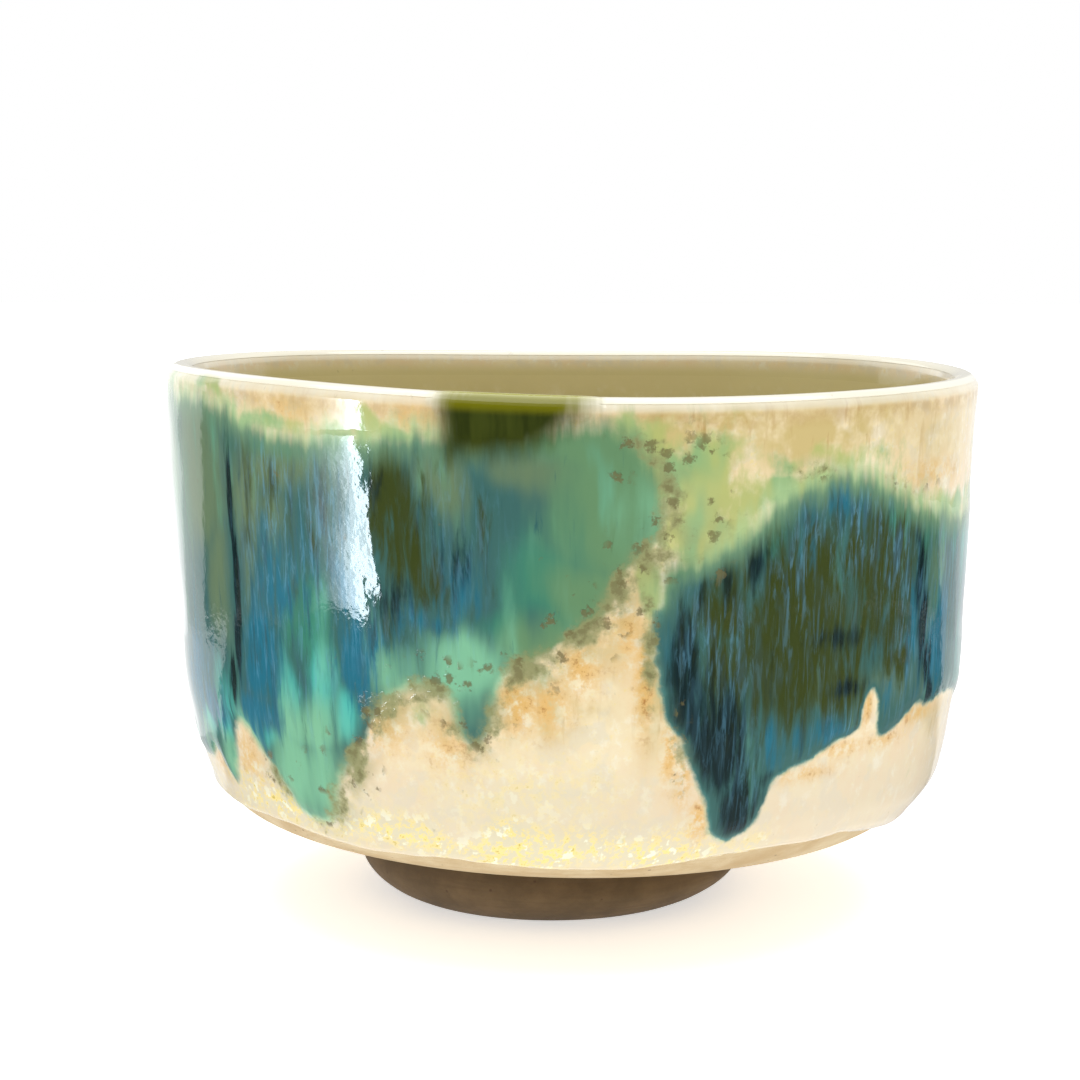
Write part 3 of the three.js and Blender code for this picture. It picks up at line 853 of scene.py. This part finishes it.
def poured_color(sh):
    """The poured glaze: mint where thin, then teal with sea green, blue, olive and inky runs in it, and dark
    strips that are painted reflections.
    """
    thick = sh.field("thick")
    run = sh.noise(1.3, along=8, detail=5, rough=0.6, shift=31, warp=0.4)
    broad = sh.noise(4.2, along=5, detail=3, shift=37)
    fine = sh.noise(0.75, along=8, detail=5, rough=0.65, shift=53, warp=0.7)
    curl = sh.noise(2.0, along=6, detail=5, rough=0.6, shift=59, warp=0.9)
    body = TEAL
    for name, stain in CALM_STAINS:
        amount = sh.stir(sh.field(name), broad, 1.3)
        body = sh.lay(body, stain, sh.step(amount, 0.1, 1.0))
    # the ink patches hold both inky runs and dark strips painted as reflections
    for name, stain, pattern in (("blue", BLUE, run), ("olive", OLIVE, curl), ("ink_and_reflections", INK_AND_DARK_REFLECTION, run)):
        amount = sh.stir(sh.field(name), pattern, 2.0)
        body = sh.lay(body, stain, sh.step(amount, 0.2, 0.9), 0.95)
    streaks = sh.field("streaks")
    wide = sh.noise(1.5, along=6, detail=4, rough=0.6, shift=55, warp=0.6)
    body = sh.lay(body, STEEL, streaks, sh.step(wide, 0.48, 0.66), 0.6)
    body = sh.lay(body, PALE_BLUE, streaks, sh.step(fine, 0.48, 0.68), 0.5)
    body = sh.lay(body, OLIVE, streaks, sh.step(run, 0.54, 0.68), 0.5)

    wander = sh.stir(thick, broad, 0.5)
    wander = sh.stir(wander, run, 0.4)
    rim = sh.ramp(wander, (0.0, EDGE_PALE), (0.12, EDGE_SLATE), (0.4, TEAL))
    upper_rim = sh.ramp(wander, (0.0, PALE_MINT), (0.4, EDGE_GREEN))
    rim = sh.lay(rim, upper_rim, sh.step(sh.field("top"), 0.4, 0.7))
    rim = sh.lay(rim, SAGE, sh.step(sh.field("sage"), 0.1, 0.6))
    rim = sh.lay(rim, MINT, sh.step(sh.field("mint"), 0.1, 0.6))
    return sh.mix(sh.step(wander, 0.26, 0.7), rim, body)


def pour_cover(sh, ragged):
    """Where the pours lie over the cream: crisp below, and frayed along their upper edges."""
    depth = sh.math("MULTIPLY_ADD", ragged, 0.8, sh.field("poured"))
    top = sh.field("top")
    fringe = sh.math("SUBTRACT", sh.noise(1.0, along=10, detail=3, shift=67), 0.5)
    depth = sh.math("MULTIPLY_ADD", sh.product(fringe, top), 5.0, depth)
    soft = sh.math("MULTIPLY_ADD", sh.product(top, top), 2.4, 0.5)
    soft = sh.math("MULTIPLY_ADD", sh.field("mint"), 1.2, soft)
    cover = sh.step(depth, sh.product(soft, -1.0), soft)
    return sh.product(cover, sh.step(sh.field("down"), 0.4, 2.2))


def crusted(sh, color, ragged):
    """Adds the dry greenish crust along the pours' edges, and gives the share of it that stands up."""
    crust, poured = sh.field("crust"), sh.field("poured")
    off_edge = sh.math("ABSOLUTE", sh.math("ADD", poured, 0.5))
    band = sh.product(crust, sh.step(off_edge, 3.4, 0.6))
    dusting = sh.product(crust, sh.step(poured, -7, -0.5), sh.step(poured, 2.5, -0.5))
    dusting = sh.product(dusting, sh.step(sh.noise(3, detail=4, shift=69), 0.3, 0.62))
    color = sh.lay(color, CRUST, dusting, 0.85)
    clump = sh.noise(2.2, detail=4, rough=0.6, shift=71)
    blotch = sh.step(sh.math("MULTIPLY_ADD", band, 0.36, clump), 0.6, 0.84)
    blotch = sh.product(blotch, sh.step(band, 0.02, 0.3))
    color = sh.lay(color, CRUST, blotch, 0.85)
    core = sh.step(sh.math("MULTIPLY_ADD", band, 0.2, clump), 0.68, 0.82)
    color = sh.lay(color, CRUST_DARK, core, 0.6)
    some = sh.step(sh.noise(6, detail=1, shift=73), 0.38, 0.48)
    spread = sh.math("MULTIPLY_ADD", ragged, 1.1, sh.spots(2.9, shift=5))
    dot = sh.product(sh.step(spread, 0.32, 0.14), sh.step(crust, 0.1, 0.3))
    dot = sh.product(dot, some, sh.step(poured, 9, 5))
    color = sh.lay(color, CRUST_DARK, dot, 0.75)
    return color, sh.math("MAXIMUM", blotch, dot)


def splashed(sh, color):
    """Adds the olive glaze that ran over the lip, pale on the ridge, where the glaze is thin and a highlight
    is painted.
    """
    run = sh.noise(1.5, along=6, detail=3, shift=77)
    splash = sh.stir(sh.field("splash"), run, 3.4)
    down = sh.field("down")
    deep = sh.ramp(run, (0.35, OLIVE_DARK), (0.7, OLIVE))
    deep = sh.lay(deep, OLIVE_BRIGHT, sh.step(down, 2.9, 1.0))
    # partly painted highlight: the lip's ridge is painted pale olive, where the glaze thins and where it
    # catches the light from above
    deep = sh.lay(deep, OLIVE_PALE, sh.step(down, 1.2, -0.4))
    return sh.mix(sh.step(splash, -1.5, 3.2), color, deep)


def glaze(name, roughness):
    """The finish of every layer outside: all of them carry the whole pattern, so they match."""
    sh = Shader(name)
    ragged = sh.math("SUBTRACT", sh.noise(0.9, detail=4, rough=0.6, shift=61), 0.5)
    cream = washed(sh, cream_color(sh))
    color = sh.mix(pour_cover(sh, ragged), cream, poured_color(sh))
    color, crusty = crusted(sh, color, ragged)
    color = splashed(sh, color)
    skin = sh.bump(sh.noise(1.1, detail=2, shift=83), 0.02)
    return sh.finish(color, roughness, sh.bump(crusty, 0.08, skin), IOR=1.5)



def inside_glaze_material():
    """The cream inside: yellower, and darker than the outside cream as painted shade inside the bowl;
    greenish where it pools on the floor, with a few iron spots.
    """
    sh = Shader("inside_glaze")
    cloud = sh.noise(12, detail=4, rough=0.6)
    curd = sh.noise(2.4, detail=5, rough=0.65, shift=7)
    color = sh.mix(sh.step(cloud, 0.35, 0.65), INSIDE_SHADE, INSIDE_CREAM_SHADED)
    color = sh.lay(color, CREAM_PALE, sh.step(curd, 0.5, 0.7), 0.3)
    color = sh.lay(color, INSIDE_POOL, sh.step(sh.field("down"), -70, -100), 0.45)
    color = sh.lay(color, RUST, sh.step(sh.spots(7, shift=4), 0.07, 0.04))
    color = sh.lay(color, INSIDE_CREAM_SHADED, sh.step(sh.field("down"), -10, -4.7))
    color = sh.lay(color, TEAL, sh.step(sh.field("splash"), -1.2, -0.2))
    return sh.finish(color, 0.3, sh.bump(sh.noise(1.3, detail=2), 0.02), Specular_IOR_Level=0.25)


def clay_material(name, pale, dark):
    """Bare stoneware: sandy, with fine rings from the turning tool and specks of iron."""
    sh = Shader(name)
    cloud = sh.noise(7, detail=5, rough=0.6)
    ring = sh.noise(9, along=0.07, detail=3, rough=0.6, shift=5)
    sand = sh.noise(0.42, detail=3, rough=0.7, shift=3)
    color = sh.mix(sh.step(cloud, 0.3, 0.7), pale, dark)
    color = sh.lay(color, dark, sh.step(ring, 0.5, 0.64), 0.3)
    color = sh.lay(color, dark, sh.step(sand, 0.55, 0.72), 0.4)
    color = sh.lay(color, IRON, sh.step(sh.spots(2.6, shift=2), 0.11, 0.05), 0.7)
    normal = sh.bump(ring, 0.06, sh.bump(sand, 0.06))
    return sh.finish(color, 0.86, normal)


# ------------------------ the bowl

CREAM_MATERIAL = glaze("cream_glaze", 0.1)
POURED_MATERIAL = glaze("poured_glaze", 0.06)
OLIVE_MATERIAL = glaze("olive_glaze", 0.06)
INSIDE_MATERIAL = inside_glaze_material()
CLAY_MATERIAL = clay_material("bare_clay", CLAY, CLAY_DARK)
# painted shade: the foot gets the bare clay's pattern in darker colours, for the shade under the bowl
FOOT_SHADED_MATERIAL = clay_material("foot_clay_shaded", FOOT_CLAY_SHADED, FOOT_DARK_SHADED)

COLUMNS = 640
SPACING = 0.6
around = np.linspace(-180, 180, COLUMNS, endpoint=False)
lip_rows = rows_between(SEAM, 4, 0.25)

coat_rows = np.concatenate([lip_rows, rows_between(4, 61, SPACING)[1:], rows_between(61, 70, 0.3)[1:]])
outside = layer(
    "outside_glaze", around, coat_rows, coat_lift, CREAM_MATERIAL,
    keep=lambda azimuth, distance: glaze_line(azimuth) - distance > -0.25,
)
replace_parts(outside, "outside_glaze")

inner_rows = np.concatenate([rows_between(-INNER_LENGTH, -10, 1.1), rows_between(-10, SEAM, 0.5)[1:]])
inner = layer("inside_glaze", around, inner_rows, coat_lift, INSIDE_MATERIAL, inside=True)
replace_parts(inner, "inside_glaze")


def add_pour(name, edges, material, thickness=1.0):
    """A pour inside its outline. A thickness below 1 makes a thinner one."""
    line, _ = outline(edges)
    low, high = line.min(axis=0) - 2, line.max(axis=0) + 2
    step = 360 / COLUMNS
    azimuths = np.arange(math.floor(low[0] / step), math.ceil(high[0] / step) + 1) * step
    rows = rows_between(low[1], high[1], 0.3 if low[1] < 0 else SPACING)

    def depth_at(azimuth, distance):
        depth, top = CHARTS[name].at(azimuth, distance)
        return depth + np.exp(-((depth / 4) ** 2)) * raggedness(azimuth, distance), top

    def wet(azimuth, distance):
        base = coat_lift(azimuth, distance)
        return base + thickness * (pour_lift(azimuth, distance, *depth_at(azimuth, distance)) - base)

    def keep(azimuth, distance):
        return depth_at(azimuth, distance)[0] > -0.5

    piece = layer(name, azimuths, rows, wet, material, keep, all_round=False)
    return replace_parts(piece, name)


for name, edges in POURS.items():
    add_pour(name, edges, POURED_MATERIAL)
add_pour("rim_splash", SPLASH, OLIVE_MATERIAL, 0.6)

clay_profile = [
    (0, FOOT_HEIGHT - POINT_DROP), (3, 6.5), (6.5, 7.4), (9, FOOT_HEIGHT), (17.6, FOOT_HEIGHT),
    *map(tuple, outer_line[::-6]), *map(tuple, inner_line[6::6]),
]
clay = turned_solid("clay_body", clay_profile, COLUMNS // 2, CLAY_MATERIAL)
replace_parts(clay, "clay_body")

foot_profile = [*map(tuple, smooth_line(FOOT, 6)[::-1]), *map(tuple, smooth_line(FOOT_BORE, 5)[::-1])]
foot = turned_solid("foot_ring", foot_profile, COLUMNS // 2, FOOT_SHADED_MATERIAL)
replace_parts(foot, "foot_ring")


# ------------------------ floor, light and camera

def staged(name, points, faces, material):
    """A mesh that belongs to the studio and not to the bowl."""
    mesh = bpy.data.meshes.new(name)
    mesh.from_pydata(points, [], faces)
    mesh.materials.append(material)
    piece = new_object(name, mesh)
    return piece


def stage_floor():
    size, height = 4.0, cad_low.z - 1e-5
    material = bpy.data.materials.new("floor")
    material.use_nodes = True
    surface = material.node_tree.nodes["Principled BSDF"].inputs
    surface["Base Color"].default_value = FLOOR_COLOR
    surface["Roughness"].default_value = 0.9
    surface["Specular IOR Level"].default_value = 0.1
    surface["Emission Color"].default_value = WHITE
    surface["Emission Strength"].default_value = FLOOR_GLOW
    corners = [(-size, -size), (size, -size), (size, size), (-size, size)]
    staged("floor", [(x, y, height) for x, y in corners], [(0, 1, 2, 3)], material)


def card(name, points, faces, glow, tint=WHITE):
    """A card that only shows in the glaze: it lights nothing, hides nothing and casts no shadow."""
    material = bpy.data.materials.new(name)
    material.use_nodes = True
    nodes, links = material.node_tree.nodes, material.node_tree.links
    nodes.clear()
    shade = nodes.new("ShaderNodeEmission")
    shade.inputs["Color"].default_value = tint
    shade.inputs["Strength"].default_value = glow
    links.new(shade.outputs["Emission"], nodes.new("ShaderNodeOutputMaterial").inputs["Surface"])
    piece = staged(name, points, faces, material)
    piece.visible_camera = False
    piece.visible_diffuse = False
    piece.visible_shadow = False



def at(azimuth, radius, height):
    """A place round the bowl, in metres."""
    a = math.radians(azimuth)
    return radius * math.sin(a), -radius * math.cos(a), height


def arc(name, start, end, section, glow):
    """A card bent round the bowl, between two directions. Its section is (radius, height) points."""
    turns = np.linspace(start, end, 17)
    count = len(section)
    points = [at(a, *corner) for a in turns for corner in section]
    steps = [count * k + i for k in range(len(turns) - 1) for i in range(count - 1)]
    card(name, points, [(i, i + 1, i + 1 + count, i + count) for i in steps], glow)


def window():
    turns = np.linspace(*WINDOW_TURNS, len(WINDOW_GLOWS) + 1)
    low, high = WINDOW_HEIGHTS
    for index, glow in enumerate(WINDOW_GLOWS):
        left, right = turns[index], turns[index + 1]
        round_it = [(left, low), (right, low), (right, high), (left, high)]
        corners = [at(turn, WINDOW_AWAY, height) for turn, height in round_it]
        card(f"window_{index}", corners, [(0, 1, 2, 3)], glow, DAYLIGHT)


def studio():
    """A white surround whose light is weaker than it looks, a wide lamp above, and the cards."""
    world = bpy.data.worlds.new("studio")
    world.use_nodes = True
    nodes, links = world.node_tree.nodes, world.node_tree.links
    background = nodes["Background"]
    background.inputs["Color"].default_value = WHITE
    paths = nodes.new("ShaderNodeLightPath")
    strength = nodes.new("ShaderNodeMapRange")
    strength.inputs["To Min"].default_value = SKY
    strength.inputs["To Max"].default_value = 1.0
    links.new(paths.outputs["Is Camera Ray"], strength.inputs["Value"])
    links.new(strength.outputs["Result"], background.inputs["Strength"])
    bpy.context.scene.world = world

    light = bpy.data.lights.new("overhead", "SUN")
    light.energy = OVERHEAD
    light.angle = math.radians(LAMP_SPREAD)
    lamp = new_object("overhead", light)
    lamp.rotation_euler = (math.radians(LAMP_TILT), 0, 0)

    for index, (start, end, glow) in enumerate(ROOM):
        arc(f"room_{index}", start, end, ROOM_SECTION, glow)
    for index, (start, end, near, far, glow) in enumerate(NEAR_FLOOR):
        arc(f"near_floor_{index}", start, end, [(near, GROUND), (far, GROUND)], glow)
    window()


def aim_camera():
    data = bpy.data.cameras.new("camera")
    data.sensor_width = 36
    data.lens = CAMERA_LENS
    data.dof.use_dof = False
    camera = new_object("camera", data)
    camera.location = CAMERA_AT
    camera.rotation_euler = (math.pi / 2 - CAMERA_PITCH, CAMERA_ROLL, CAMERA_YAW)
    bpy.context.scene.camera = camera


stage_floor()
studio()
aim_camera()
bpy.context.scene.view_settings.view_transform = "Standard"
